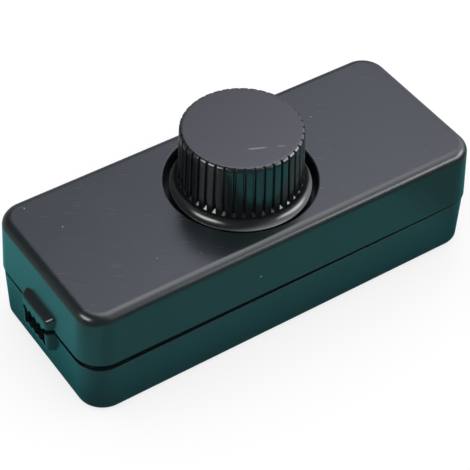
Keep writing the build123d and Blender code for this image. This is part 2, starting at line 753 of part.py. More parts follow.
# ----------------------------------------------------------- terminal blocks
# Two-way blocks, one at each end, their wire ways facing the inlets.
block_mid_x = (block_inner_x + block_outer_x) / 2
with BuildPart() as output_terminal_block:
    with BuildSketch(Plane.XY.offset(board_top)):
        with Locations((block_mid_x, 0)):
            Rectangle(block_outer_x - block_inner_x, 2 * block_half_width)
    extrude(amount=block_top - board_top)
    chamfer(output_terminal_block.faces().sort_by(Axis.Z)[-1].edges().filter_by(Axis.Y), 1.0)
    # wire ways
    with BuildSketch(Plane.YZ.offset(block_outer_x)):
        with GridLocations(2 * way_y, 1, 2, 1):
            with Locations((0, 10.4)):
                Rectangle(3.3, 4.2)
    extrude(amount=-6.4, mode=Mode.SUBTRACT)
    # screw ways and solder pin holes
    with BuildSketch(Plane.XY.offset(block_top)):
        with GridLocations(1, 2 * way_y, 1, 2):
            with Locations((25.6, 0)):
                Circle(1.85)
    extrude(amount=-(block_top - 11.0), mode=Mode.SUBTRACT)
    with BuildSketch(Plane.XY.offset(board_top)):
        with GridLocations(1, 2 * way_y, 1, 2):
            with Locations((25.0, 0)):
                Circle(0.6)
    extrude(amount=2.0, mode=Mode.SUBTRACT)
output_terminal_block.part.label = "output_terminal_block"
export_step(output_terminal_block.part, "parts/output_terminal_block.step")

with BuildPart() as input_terminal_block:
    add(mirror(output_terminal_block.part, about=Plane.YZ, mode=Mode.PRIVATE))
input_terminal_block.part.label = "input_terminal_block"
export_step(input_terminal_block.part, "parts/input_terminal_block.step")

with BuildPart() as terminal_clamps:
    for end in (-1, 1):
        for y in (-way_y, way_y):
            with BuildSketch(Plane.YZ.offset(end * 23.7)):
                with Locations((y, 10.4)):
                    Rectangle(3.0, 3.8)
                with Locations((y, 10.2)):
                    Rectangle(2.0, 2.4, mode=Mode.SUBTRACT)
            extrude(amount=end * 4.0)
            with BuildSketch(Plane.XY.offset(8.6)):
                with Locations((end * 25.0, y)):
                    Circle(0.5)
            extrude(amount=-3.4)
            with BuildSketch(Plane.XY.offset(12.3)):
                with Locations((end * 25.6, y)):
                    Circle(1.2)
            extrude(amount=-0.9, mode=Mode.SUBTRACT)
terminal_clamps.part.label = "terminal_clamps"
export_step(terminal_clamps.part, "parts/terminal_clamps.step")

with BuildPart() as terminal_screws:
    for end in (-1, 1):
        for y in (-way_y, way_y):
            with BuildSketch(Plane.XY.offset(11.4)):
                with Locations((end * 25.6, y)):
                    Circle(1.2)
            extrude(amount=3.0)
            with BuildSketch(Plane.XY.offset(14.4)):
                with Locations((end * 25.6, y)):
                    Circle(1.7)
            extrude(amount=1.7)
            with BuildSketch(Plane.XY.offset(16.1)):
                with Locations((end * 25.6, y)):
                    Rectangle(4.0, 0.6)
            extrude(amount=-0.7, mode=Mode.SUBTRACT)
terminal_screws.part.label = "terminal_screws"
export_step(terminal_screws.part, "parts/terminal_screws.step")
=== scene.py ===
from math import asin, atan2, cos, pi, radians, sin, sqrt, tan

import bmesh
import bpy
from mathutils import Matrix, Vector


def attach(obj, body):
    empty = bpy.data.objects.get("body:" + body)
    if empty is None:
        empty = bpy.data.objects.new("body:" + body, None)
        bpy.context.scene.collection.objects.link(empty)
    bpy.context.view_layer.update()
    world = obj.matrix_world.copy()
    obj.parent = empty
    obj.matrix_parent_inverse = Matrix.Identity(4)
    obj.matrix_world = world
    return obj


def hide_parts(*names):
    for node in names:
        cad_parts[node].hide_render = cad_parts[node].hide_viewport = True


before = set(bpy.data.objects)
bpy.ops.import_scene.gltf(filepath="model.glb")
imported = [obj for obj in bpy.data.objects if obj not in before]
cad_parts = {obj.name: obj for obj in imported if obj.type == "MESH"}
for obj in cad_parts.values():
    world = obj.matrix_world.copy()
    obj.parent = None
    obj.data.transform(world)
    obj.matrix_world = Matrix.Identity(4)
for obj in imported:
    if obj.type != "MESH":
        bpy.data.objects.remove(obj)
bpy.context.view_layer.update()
scene = bpy.context.scene

# Sizes in millimetres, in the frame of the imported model.
LENGTH, WIDTH, HEIGHT = 85.0, 35.0, 23.2
SEAM = 11.4
CORNER = 5.4
DRAFT = tan(radians(1.4))
DRAFT_DEG = 1.4
UPPER_DRAFT = tan(radians(3.0))
UPPER_DRAFT_DEG = 3.0
TOP_FILLET, BOTTOM_FILLET = 1.9, 1.0
LOWER_RIM, UPPER_RIM = 10.7, 11.365
EDGE = 0.14
LOWER_EDGE = 0.06
STEP = 0.18
WALL = 2.0
END = LENGTH / 2


# ------------------------------------------------------------- mesh helpers
def make_object(name, verts, faces):
    """A closed mesh, built in millimetres."""
    mesh = bpy.data.meshes.new(name)
    mesh.from_pydata([tuple(v) for v in verts], [], faces)
    mesh.validate()
    bm = bmesh.new()
    bm.from_mesh(mesh)
    bmesh.ops.remove_doubles(bm, verts=bm.verts, dist=1e-5)
    bmesh.ops.recalc_face_normals(bm, faces=bm.faces)
    bm.to_mesh(mesh)
    bm.free()
    ob = bpy.data.objects.new(name, mesh)
    scene.collection.objects.link(ob)
    return ob


def loft(rings):
    """Verts and faces of a closed skin through rings of equal count."""
    n = len(rings[0])
    verts, faces = [], []
    for ring in rings:
        verts += ring
    for k in range(len(rings) - 1):
        for i in range(n):
            j = (i + 1) % n
            faces.append((k * n + i, k * n + j, (k + 1) * n + j, (k + 1) * n + i))
    faces.append(tuple(reversed(range(n))))
    faces.append(tuple(range((len(rings) - 1) * n, len(rings) * n)))
    return verts, faces


def combine(parts):
    """Several disjoint closed skins as one."""
    verts, faces = [], []
    for v, f in parts:
        base = len(verts)
        verts += v
        faces += [tuple(base + i for i in face) for face in f]
    return verts, faces


def moved(part, dx, dy):
    v, f = part
    return [(x + dx, y + dy, z) for x, y, z in v], f


def mirrored(part):
    v, f = part
    return [(-x, y, z) for x, y, z in v], [tuple(reversed(face)) for face in f]


def round_rect(inset, n=26, long_steps=30, short_steps=10):
    """The case's plan outline, offset inwards, as points with matching order at every inset."""
    hx, hy, r = LENGTH / 2 - inset, WIDTH / 2 - inset, CORNER - inset
    r = max(r, 0.2)
    pts = []
    corners = (
        (hx - r, hy - r, 0, long_steps),
        (-(hx - r), hy - r, 90, short_steps),
        (-(hx - r), -(hy - r), 180, long_steps),
        (hx - r, -(hy - r), 270, short_steps),
    )
    for k, (cx, cy, a0, steps) in enumerate(corners):
        for i in range(n + 1):
            a = radians(a0 + 90 * i / n)
            pts.append((cx + r * cos(a), cy + r * sin(a)))
        nx, ny, na, _ = corners[(k + 1) % 4]
        sx, sy = pts[-1]
        ex, ey = nx + r * cos(radians(na)), ny + r * sin(radians(na))
        for i in range(1, steps):
            t = i / steps
            pts.append((sx + (ex - sx) * t, sy + (ey - sy) * t))
    return pts


def rect_prism(inset_bottom, z0, inset_top, z1):
    rings = [[(x, y, z0) for x, y in round_rect(inset_bottom)], [(x, y, z1) for x, y in round_rect(inset_top)]]
    return loft(rings)


def turned(profile, n=96):
    """A closed turned solid from (radius, z) points that run from low to high."""
    rings = []
    for r, z in profile:
        r = max(r, 1e-3)
        rings.append([(r * cos(2 * pi * i / n), r * sin(2 * pi * i / n), z) for i in range(n)])
    return loft(rings)


def cylinder(r, z0, z1, n=64):
    return turned([(r, z0), (r, z1)], n)


def block(x0, x1, y0, y1, z0, z1):
    v = [(x, y, z) for z in (z0, z1) for x, y in ((x0, y0), (x1, y0), (x1, y1), (x0, y1))]
    f = [(3, 2, 1, 0), (4, 5, 6, 7), (0, 1, 5, 4), (1, 2, 6, 5), (2, 3, 7, 6), (3, 0, 4, 7)]
    return v, f


def end_prism(points, x0, x1):
    """A prism along X from points given as (y, z)."""
    return loft([[(x0, y, z) for y, z in points], [(x1, y, z) for y, z in points]])


def boolean(target, part, operation):
    """Joins a closed skin to target or cuts it away, for good."""
    tool = make_object("tool", *part)
    mod = target.modifiers.new("cut", "BOOLEAN")
    mod.object = tool
    mod.operation = operation
    mod.solver = "EXACT"
    bpy.context.view_layer.update()
    dg = bpy.context.evaluated_depsgraph_get()
    new = bpy.data.meshes.new_from_object(target.evaluated_get(dg))
    target.modifiers.clear()
    old = target.data
    target.data = new
    new.name = old.name + "_c"
    bpy.data.meshes.remove(old)
    tool_mesh = tool.data
    bpy.data.objects.remove(tool)
    bpy.data.meshes.remove(tool_mesh)


def finish_piece(ob, node, body, angle=32):
    """To metres, smooth shading with weighted normals, and onto its body."""
    ob.data.transform(Matrix.Scale(0.001, 4))
    bm = bmesh.new()
    bm.from_mesh(ob.data)
    bmesh.ops.remove_doubles(bm, verts=bm.verts, dist=4e-7)
    bmesh.ops.dissolve_degenerate(bm, edges=bm.edges, dist=2e-7)
    bmesh.ops.recalc_face_normals(bm, faces=bm.faces)
    bm.to_mesh(ob.data)
    bm.free()
    ob.data.polygons.foreach_set("use_smooth", [True] * len(ob.data.polygons))
    ob.data.set_sharp_from_angle(angle=radians(angle))
    mod = ob.modifiers.new("normals", "WEIGHTED_NORMAL")
    mod.keep_sharp = True
    mod.weight = 60
    ob.name = node + "_skin"
    ob.data.name = node + "_skin"
    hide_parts(node)
    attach(ob, body)
    return ob


# ---------------------------------------------------------------- the case
def seam_height(x, y):
    """The upper cover's lower edge: closed at the far right corner, open towards the near left one."""
    return max(LOWER_RIM + 0.12, UPPER_RIM - 0.0118 * x - 0.0186 * y)


def boss():
    """The raised frame of the cord inlet at +X: slanted sides, every outer edge rounded."""
    x_back, x_front = END - 0.7, END + 1.15
    f = 0.42

    def ring(x, inset, corner):
        t = (x - END) / 1.15
        half = 4.8 - 0.5 * t - inset
        top = SEAM + 3.05 - 0.65 * t - inset
        bottom = SEAM - 5.2 + 0.3 * t + inset
        corner = max(corner - inset * 0.55, 0.1)
        pts = []
        for cy, cz, a0 in (
            (half - corner, top - corner, 0),
            (-(half - corner), top - corner, 90),
            (-(half - corner), bottom + corner, 180),
            (half - corner, bottom + corner, 270),
        ):
            for i in range(9):
                a = radians(a0 + 90 * i / 8)
                pts.append((x, cy + corner * cos(a), cz + corner * sin(a)))
        return pts

    rings = [ring(x_back, 0, 0.6), ring(END + 0.3, 0, 0.6), ring(x_front - f, 0, 0.6)]
    for k in range(1, 8):
        a = radians(90 * k / 7)
        rings.append(ring(x_front - f + f * sin(a), f * (1 - cos(a)), 0.6))
    return loft(rings)


def jaw_points(side, base, z_far, tooth):
    """One jaw of the inlet with four teeth, as (y, z)."""
    pitch, count = 1.65, 4
    start = -pitch * count / 2
    pts = [(-side, z_far), (-side, base), (start, base)]
    for i in range(count):
        pts.append((start + (i + 0.44) * pitch, base + tooth))
        pts.append((start + (i + 0.56) * pitch, base + tooth))
        pts.append((start + (i + 1) * pitch - 0.04, base))
    pts += [(side, base), (side, z_far)]
    return pts


POSTS = [(sx * 36.6, sy * 11.6) for sx in (-1, 1) for sy in (-1, 1)]


def build_upper_cover():
    rings = []
    pts = round_rect(2.3)
    rings.append([(x, y, seam_height(x, y)) for x, y in pts])
    for k in range(5):
        a = radians(90 * k / 4)
        rise = EDGE * (1 - cos(a))
        pts = round_rect(EDGE * (1 - sin(a)) + rise * UPPER_DRAFT)
        rings.append([(x, y, seam_height(x, y) + rise) for x, y in pts])
    for z in (13.4, 16.0, 18.5, 20.6):
        rings.append([(x, y, z) for x, y in round_rect((z - SEAM) * UPPER_DRAFT)])
    zc = HEIGHT - TOP_FILLET
    centre = (zc - SEAM) * UPPER_DRAFT + TOP_FILLET / cos(radians(UPPER_DRAFT_DEG))
    for k in range(19):
        a = radians(UPPER_DRAFT_DEG + (90 - UPPER_DRAFT_DEG) * k / 18)
        rings.append([(x, y, zc + TOP_FILLET * sin(a)) for x, y in round_rect(centre - TOP_FILLET * cos(a))])
    ob = make_object("upper", *loft(rings))

    upper_boss = make_object("boss_tool", *combine([boss(), mirrored(boss())]))
    boolean(upper_boss, block(-60, 60, -30, 30, 0, LOWER_RIM + 0.12), "DIFFERENCE")
    low = UPPER_RIM
    corners = [(-60, -30), (60, -30), (60, 30), (-60, 30)]
    tilted = (
        [(x, y, 0) for x, y in corners] + [(x, y, low - 0.0118 * x - 0.0186 * y) for x, y in corners],
        [(3, 2, 1, 0), (4, 5, 6, 7), (0, 1, 5, 4), (1, 2, 6, 5), (2, 3, 7, 6), (3, 0, 4, 7)],
    )
    boolean(upper_boss, tilted, "DIFFERENCE")
    skin = (
        [tuple(v.co) for v in upper_boss.data.vertices],
        [tuple(p.vertices) for p in upper_boss.data.polygons],
    )
    old = upper_boss.data
    bpy.data.objects.remove(upper_boss)
    bpy.data.meshes.remove(old)
    boolean(ob, skin, "UNION")

    boolean(ob, rect_prism(WALL, 5.0, WALL + (21.2 - SEAM) * DRAFT, 21.2), "DIFFERENCE")
    boolean(ob, rect_prism(1.0, 5.0, 1.0, SEAM + 2.4), "DIFFERENCE")
    boolean(ob, cylinder(15.75, 18.2, 21.6, 128), "UNION")
    rim = [(14.15, 19.8), (14.15, HEIGHT - 0.3)]
    rim += [(14.45 - 0.3 * cos(radians(a)), HEIGHT - 0.3 + 0.3 * sin(radians(a))) for a in (15, 30, 45, 60, 75, 90)]
    rim.append((14.45, 24.0))
    boolean(ob, turned(rim, 192), "DIFFERENCE")
    boolean(ob, cylinder(3.6, 17.0, 21.5, 96), "DIFFERENCE")
    boolean(ob, block(6.6, 7.8, -1.3, 1.3, 17.0, 21.5), "DIFFERENCE")
    boolean(ob, combine([moved(cylinder(3.4, 9.0, 21.6), x, y) for x, y in POSTS]), "UNION")
    boolean(ob, combine([moved(cylinder(1.25, 7.0, 17.0, 40), x, y) for x, y in POSTS]), "DIFFERENCE")
    slot = block(END - 3.2, END + 2.0, -3.6, 3.6, 5.0, SEAM + 0.36)
    boolean(ob, combine([slot, mirrored(slot)]), "DIFFERENCE")
    comb = end_prism(
        [(y, z) for y, z in jaw_points(3.48, SEAM + 0.3, SEAM + 1.6, -0.9)], END - 1.9, END + 1.05
    )
    boolean(ob, combine([comb, mirrored(comb)]), "UNION")
    return finish_piece(ob, "upper_cover", "housing")


def build_lower_cover():
    rings = []
    zc = BOTTOM_FILLET
    centre = STEP + (SEAM - zc) * DRAFT + BOTTOM_FILLET / cos(radians(DRAFT_DEG))
    for k in range(13):
        a = radians(90 - (90 - DRAFT_DEG) * k / 12)
        rings.append([(x, y, zc - BOTTOM_FILLET * sin(a)) for x, y in round_rect(centre - BOTTOM_FILLET * cos(a))])
    for z in (3.0, 6.0, 9.0):
        rings.append([(x, y, z) for x, y in round_rect(STEP + (SEAM - z) * DRAFT)])
    for k in range(5):
        a = radians(90 * k / 4)
        z = LOWER_RIM - LOWER_EDGE * (1 - sin(a))
        rings.append([(x, y, z) for x, y in round_rect(STEP + (SEAM - z) * DRAFT + LOWER_EDGE * (1 - cos(a)))])
    ob = make_object("lower", *loft(rings))

    lower_boss = make_object("boss_tool", *combine([boss(), mirrored(boss())]))
    boolean(lower_boss, block(-60, 60, -30, 30, LOWER_RIM, 30), "DIFFERENCE")
    skin = (
        [tuple(v.co) for v in lower_boss.data.vertices],
        [tuple(p.vertices) for p in lower_boss.data.polygons],
    )
    old = lower_boss.data
    bpy.data.objects.remove(lower_boss)
    bpy.data.meshes.remove(old)
    boolean(ob, skin, "UNION")
    boolean(ob, rect_prism(1.15, SEAM - 1.2, 1.15, SEAM + 1.9), "UNION")
    cavity = [
        [(x, y, 2.0) for x, y in round_rect(WALL + (SEAM - 2.0) * DRAFT)],
        [(x, y, SEAM) for x, y in round_rect(WALL)],
        [(x, y, 20.0) for x, y in round_rect(WALL)],
    ]
    boolean(ob, loft(cavity), "DIFFERENCE")
    boolean(ob, combine([moved(cylinder(4.2, 1.0, 9.0), x, y) for x, y in POSTS]), "UNION")
    bore = [
        (3.16, -1.0), (3.16, 0.0), (3.04, 0.05), (3.0, 0.16), (3.0, 3.0), (1.6, 3.0), (1.6, 9.5),
    ]
    boolean(ob, combine([moved(turned(bore, 64), x, y) for x, y in POSTS]), "DIFFERENCE")
    feet = [(sx * 27.5, sy * 12.0) for sx in (-1, 1) for sy in (-1, 1)]
    boolean(ob, combine([moved(cylinder(2.4, 1.0, 6.0, 48), x, y) for x, y in feet]), "UNION")
    boolean(ob, combine([moved(cylinder(1.1, 5.0, 7.2, 40), s * 27.5, s * 12.0) for s in (-1, 1)]), "UNION")
    boolean(ob, combine([moved(cylinder(0.9, 2.5, 7.0, 32), s * 27.5, -s * 12.0) for s in (-1, 1)]), "DIFFERENCE")
    opening = end_prism(jaw_points(3.6, SEAM - 4.1, SEAM + 3.0, 0.6), END - 3.2, END + 2.0)
    boolean(ob, combine([opening, mirrored(opening)]), "DIFFERENCE")
    return finish_piece(ob, "lower_cover", "housing")


# ---------------------------------------------------------------- the knob
RIBS = 40
PITCH = 2 * pi / RIBS
KNOB_TOP = HEIGHT + 12.15
R_TOP, R_FOOT, Z_FOOT = 11.2, 11.55, HEIGHT + 1.1
LEAN = (R_FOOT - R_TOP) / (KNOB_TOP - Z_FOOT)
DEPTH = 0.52
MOUTH = 0.44
TOP_CHAMFER = 0.42


def rib_radius(z):
    return R_FOOT - LEAN * (z - Z_FOOT)


def arc_through(p, q, s, n):
    """Points on the circle through three points, from p to s."""
    (ax, ay), (bx, by), (cx, cy) = p, q, s
    d = 2 * (ax * (by - cy) + bx * (cy - ay) + cx * (ay - by))
    ux = ((ax**2 + ay**2) * (by - cy) + (bx**2 + by**2) * (cy - ay) + (cx**2 + cy**2) * (ay - by)) / d
    uy = ((ax**2 + ay**2) * (cx - bx) + (bx**2 + by**2) * (ax - cx) + (cx**2 + cy**2) * (bx - ax)) / d
    r = sqrt((ax - ux) ** 2 + (ay - uy) ** 2)
    a0, a1 = atan2(ay - uy, ax - ux), atan2(cy - uy, cx - ux)
    if a1 - a0 > pi:
        a1 -= 2 * pi
    elif a1 - a0 < -pi:
        a1 += 2 * pi
    return [(ux + r * cos(a0 + (a1 - a0) * i / n), uy + r * sin(a0 + (a1 - a0) * i / n)) for i in range(n + 1)]


def build_knob():
    half = [
        (0.0, -1.0), (0.08, -1.0), (0.13, -0.965), (0.17, -0.88), (0.20, -0.76), (0.245, -0.34), (0.265, -0.2),
        (0.295, -0.1), (0.34, -0.035), (0.39, -0.008), (MOUTH, 0.0),
    ]
    section = [(-t, d * DEPTH) for t, d in reversed(half[1:])] + [(t, d * DEPTH) for t, d in half]
    crest = (0.25, 0.5, 0.75)
    columns = []
    for i in range(RIBS):
        centre = PITCH * (i + 0.5)
        for t, d in section:
            columns.append((centre, t, d, None))
        for f in crest:
            columns.append((centre, MOUTH, 0.0, f))

    def angle(column, z):
        centre, t, d, f = column
        radius = rib_radius(z)
        if f is None:
            return centre + asin(t / (radius + d))
        edge = asin(MOUTH / radius)
        return centre + edge + (PITCH - 2 * edge) * f

    rows = []

    def plain(r, z, z_angle=Z_FOOT):
        rows.append([(r * cos(angle(c, z_angle)), r * sin(angle(c, z_angle)), z) for c in columns])

    def flat_bore(z):
        ring = []
        for c in columns:
            a = angle(c, Z_FOOT)
            r = 3.0
            if sin(a) > 0.5:
                r = min(r, 1.5 / sin(a))
            ring.append((r * cos(a), r * sin(a), z))
        rows.append(ring)

    # underside, from the shaft's bore outwards
    flat_bore(32.0)
    flat_bore(24.8)
    plain(5.0, 24.8)
    plain(5.0, 33.0)
    plain(8.922, 33.0)
    plain(9.2, 22.4)
    plain(9.2, 23.0)
    plain(11.2, 23.0)
    plain(11.2, 20.4)
    plain(12.93, 20.4)
    plain(13.03, 20.45)
    plain(13.08, 20.55)
    # lip
    lip = HEIGHT - 0.92
    plain(13.08, lip - 0.08)
    for r, z in arc_through((13.08, lip - 0.08), (13.05, lip + 0.02), (12.98, lip + 0.05), 6)[1:]:
        plain(r, z)
    # hollow flare up to the ribs
    for r, z in arc_through((12.98, lip + 0.05), (11.945, Z_FOOT - 1.217), (R_FOOT, Z_FOOT), 26)[1:]:
        plain(r, z)
    # ramp at the foot of each groove
    for s in (0.12, 0.5, 0.88, 1.0):
        ring = []
        for c in columns:
            d = c[2]
            z = Z_FOOT + s * max(0.02, -d * 1.1)
            r = rib_radius(z) + d * s
            a = angle(c, z)
            ring.append((r * cos(a), r * sin(a), z))
        rows.append(ring)
    # the ribs' length
    for s in (0.1, 0.5, 0.9, 1.0):
        ring = []
        for c in columns:
            d = c[2]
            low = Z_FOOT + max(0.02, -d * 1.1)
            high = KNOB_TOP - TOP_CHAMFER + min(-d, TOP_CHAMFER - 0.015)
            z = low + (high - low) * s
            r = rib_radius(z) + d
            a = angle(c, z)
            ring.append((r * cos(a), r * sin(a), z))
        rows.append(ring)
    # chamfered rib tops
    edge_r = R_TOP - TOP_CHAMFER

    def top_edge(d):
        high = KNOB_TOP - TOP_CHAMFER + min(-d, TOP_CHAMFER - 0.015)
        return min(edge_r, rib_radius(high) + d - 0.012)

    for s in (0.12, 0.35, 0.65, 0.88, 1.0):
        ring = []
        for c in columns:
            d = c[2]
            high = KNOB_TOP - TOP_CHAMFER + min(-d, TOP_CHAMFER - 0.015)
            r0, z0 = rib_radius(high) + d, high
            bulge = 0.045 * sin(pi * s) * (1 + d / DEPTH)
            r = r0 + (top_edge(d) - r0) * s + bulge * 0.7
            z = z0 + (KNOB_TOP - 0.02 - z0) * s + bulge * 0.7
            a = angle(c, KNOB_TOP)
            ring.append((r * cos(a), r * sin(a), z))
        rows.append(ring)
    for inset, z in ((0.06, KNOB_TOP - 0.004), (0.14, KNOB_TOP)):
        ring = []
        for c in columns:
            r, a = top_edge(c[2]) - inset, angle(c, KNOB_TOP)
            ring.append((r * cos(a), r * sin(a), z))
        rows.append(ring)
    for r in (10.2, 9.0, 5.0):
        plain(r, KNOB_TOP, KNOB_TOP)
    ob = make_object("knob_mesh", *loft(rows))
    return finish_piece(ob, "knob", "knob_assembly", 38)


upper = build_upper_cover()
lower = build_lower_cover()
for polygon in lower.data.polygons:
    if polygon.normal.z < -0.9999:
        polygon.use_smooth = False
knob = build_knob()


# --------------------------------------------------------------- materials
class Nodes:
    """A material's node tree, written as calls."""

    def __init__(self, name):
        self.material = bpy.data.materials.new(name)
        self.material.use_nodes = True
        self.tree = self.material.node_tree
        self.tree.nodes.clear()
        self.out = self.tree.nodes.new("ShaderNodeOutputMaterial")
        self.shader = self.tree.nodes.new("ShaderNodeBsdfPrincipled")
        self.tree.links.new(self.shader.outputs[0], self.out.inputs[0])
        coord = self.tree.nodes.new("ShaderNodeTexCoord")
        scale = self.tree.nodes.new("ShaderNodeVectorMath")
        scale.operation = "SCALE"
        scale.inputs["Scale"].default_value = 1000.0
        self.tree.links.new(coord.outputs["Object"], scale.inputs[0])
        self.p = scale.outputs[0]

    def put(self, socket, value):
        if hasattr(value, "is_linked") or isinstance(value, bpy.types.NodeSocket):
            self.tree.links.new(value, socket)
        else:
            socket.default_value = value

    def math(self, op, a, b=None, c=None, clamp=False):
        n = self.tree.nodes.new("ShaderNodeMath")
        n.operation = op
        n.use_clamp = clamp
        self.put(n.inputs[0], a)
        if b is not None:
            self.put(n.inputs[1], b)
        if c is not None:
            self.put(n.inputs[2], c)
        return n.outputs[0]

    def vector(self, op, a, b=None):
        n = self.tree.nodes.new("ShaderNodeVectorMath")
        n.operation = op
        self.put(n.inputs[0], a)
        if b is not None:
            self.put(n.inputs[1], b)
        return n.outputs["Value"] if op in ("DOT_PRODUCT", "LENGTH", "DISTANCE") else n.outputs[0]

    def mapping(self, vector, rotation=(0, 0, 0), scale=(1, 1, 1), location=(0, 0, 0)):
        n = self.tree.nodes.new("ShaderNodeMapping")
        self.put(n.inputs["Vector"], vector)
        n.inputs["Location"].default_value = location
        n.inputs["Rotation"].default_value = rotation
        n.inputs["Scale"].default_value = scale
        return n.outputs[0]

    def noise(self, vector, scale, detail=2.0, roughness=0.5):
        n = self.tree.nodes.new("ShaderNodeTexNoise")
        self.put(n.inputs["Vector"], vector)
        n.inputs["Scale"].default_value = scale
        n.inputs["Detail"].default_value = detail
        n.inputs["Roughness"].default_value = roughness
        return n.outputs["Fac"]

    def voronoi(self, vector, dimensions="2D", scale=1.0):
        n = self.tree.nodes.new("ShaderNodeTexVoronoi")
        n.voronoi_dimensions = dimensions
        self.put(n.inputs["Vector"], vector)
        n.inputs["Scale"].default_value = scale
        return n

    def split(self, vector):
        n = self.tree.nodes.new("ShaderNodeSeparateXYZ")
        self.put(n.inputs[0], vector)
        return n.outputs

    def remap(self, value, lo, hi, out_lo=0.0, out_hi=1.0, smooth=False):
        n = self.tree.nodes.new("ShaderNodeMapRange")
        n.interpolation_type = "SMOOTHSTEP" if smooth else "LINEAR"
        n.clamp = True
        self.put(n.inputs["Value"], value)
        n.inputs["From Min"].default_value = lo
        n.inputs["From Max"].default_value = hi
        n.inputs["To Min"].default_value = out_lo
        n.inputs["To Max"].default_value = out_hi
        return n.outputs["Result"]

    def ramp(self, value, stops, constant=False):
        n = self.tree.nodes.new("ShaderNodeValToRGB")
        r = n.color_ramp
        r.interpolation = "CONSTANT" if constant else "LINEAR"
        while len(r.elements) < len(stops):
            r.elements.new(0.5)
        for e, (pos, col) in zip(r.elements, stops):
            e.position = pos
            e.color = (*col, 1.0)
        self.put(n.inputs[0], value)
        return n.outputs["Color"]

    def mix(self, factor, a, b, mode="MIX"):
        n = self.tree.nodes.new("ShaderNodeMix")
        n.data_type = "RGBA"
        n.blend_type = mode
        self.put(n.inputs["Factor"], factor)
        self.put(n.inputs["A"], a if not isinstance(a, tuple) else (*a, 1.0))
        self.put(n.inputs["B"], b if not isinstance(b, tuple) else (*b, 1.0))
        return n.outputs["Result"]

    def normal(self):
        n = self.tree.nodes.new("ShaderNodeNewGeometry")
        return n.outputs["Normal"]

    def bump(self, height, strength, distance):
        n = self.tree.nodes.new("ShaderNodeBump")
        n.inputs["Strength"].default_value = strength
        n.inputs["Distance"].default_value = distance
        self.put(n.inputs["Height"], height)
        self.tree.links.new(n.outputs[0], self.shader.inputs["Normal"])


def scratches(m, angle, cell, width, keep, seed):
    """Short fine scratches on the XY plane: one long thin ellipse in a few of the cells."""
    v = m.mapping(m.p, rotation=(0, 0, radians(angle)), location=(seed, seed * 1.7, 0))
    v = m.mapping(v, scale=(1 / cell, 1 / width, 1))
    vor = m.voronoi(v)
    col = m.split(vor.outputs["Color"])
    on = m.math("GREATER_THAN", col[0], 1 - keep)
    line = m.remap(vor.outputs["Distance"], 0.06, 0.24, 1.0, 0.0, smooth=True)
    strength = m.math("MULTIPLY", m.math("MULTIPLY", on, line), m.remap(col[1], 0, 1, 0.35, 1.0))
    return strength


def specks(m, cell, radius, keep, seed):
    """Dust: a small round dot in some of the cells."""
    v = m.mapping(m.p, scale=(1 / cell,) * 3, location=(seed, seed * 0.6, seed * 0.3))
    vor = m.voronoi(v, "2D")
    col = m.split(vor.outputs["Color"])
    on = m.math("GREATER_THAN", col[0], 1 - keep)
    dot = m.remap(vor.outputs["Distance"], radius / cell * 0.5, radius / cell, 1.0, 0.0, smooth=True)
    return m.math("MULTIPLY", m.math("MULTIPLY", on, dot), m.remap(col[2], 0, 1, 0.4, 1.0))


def spot(m, centre, radius):
    """A single speck at a point of the surface."""
    d = m.vector("DISTANCE", m.p, centre)
    return m.remap(d, radius * 0.45, radius, 1.0, 0.0, smooth=True)


def smear(m, a, b, width):
    """A faint line between two points, fading towards its ends and sides."""
    ax, ay, az = a
    bx, by, bz = b
    mid = ((ax + bx) / 2, (ay + by) / 2, (az + bz) / 2)
    d = Vector((bx - ax, by - ay, bz - az))
    length = d.length
    d.normalize()
    side = Vector((-d.y, d.x, 0))
    rel = m.vector("SUBTRACT", m.p, mid)
    u = m.math("ABSOLUTE", m.vector("DOT_PRODUCT", rel, tuple(d)))
    w = m.math("ABSOLUTE", m.vector("DOT_PRODUCT", rel, tuple(side)))
    along = m.remap(u, length * 0.2, length * 0.5, 1.0, 0.0, smooth=True)
    across = m.remap(w, width * 0.2, width, 1.0, 0.0, smooth=True)
    return m.math("MULTIPLY", along, across)


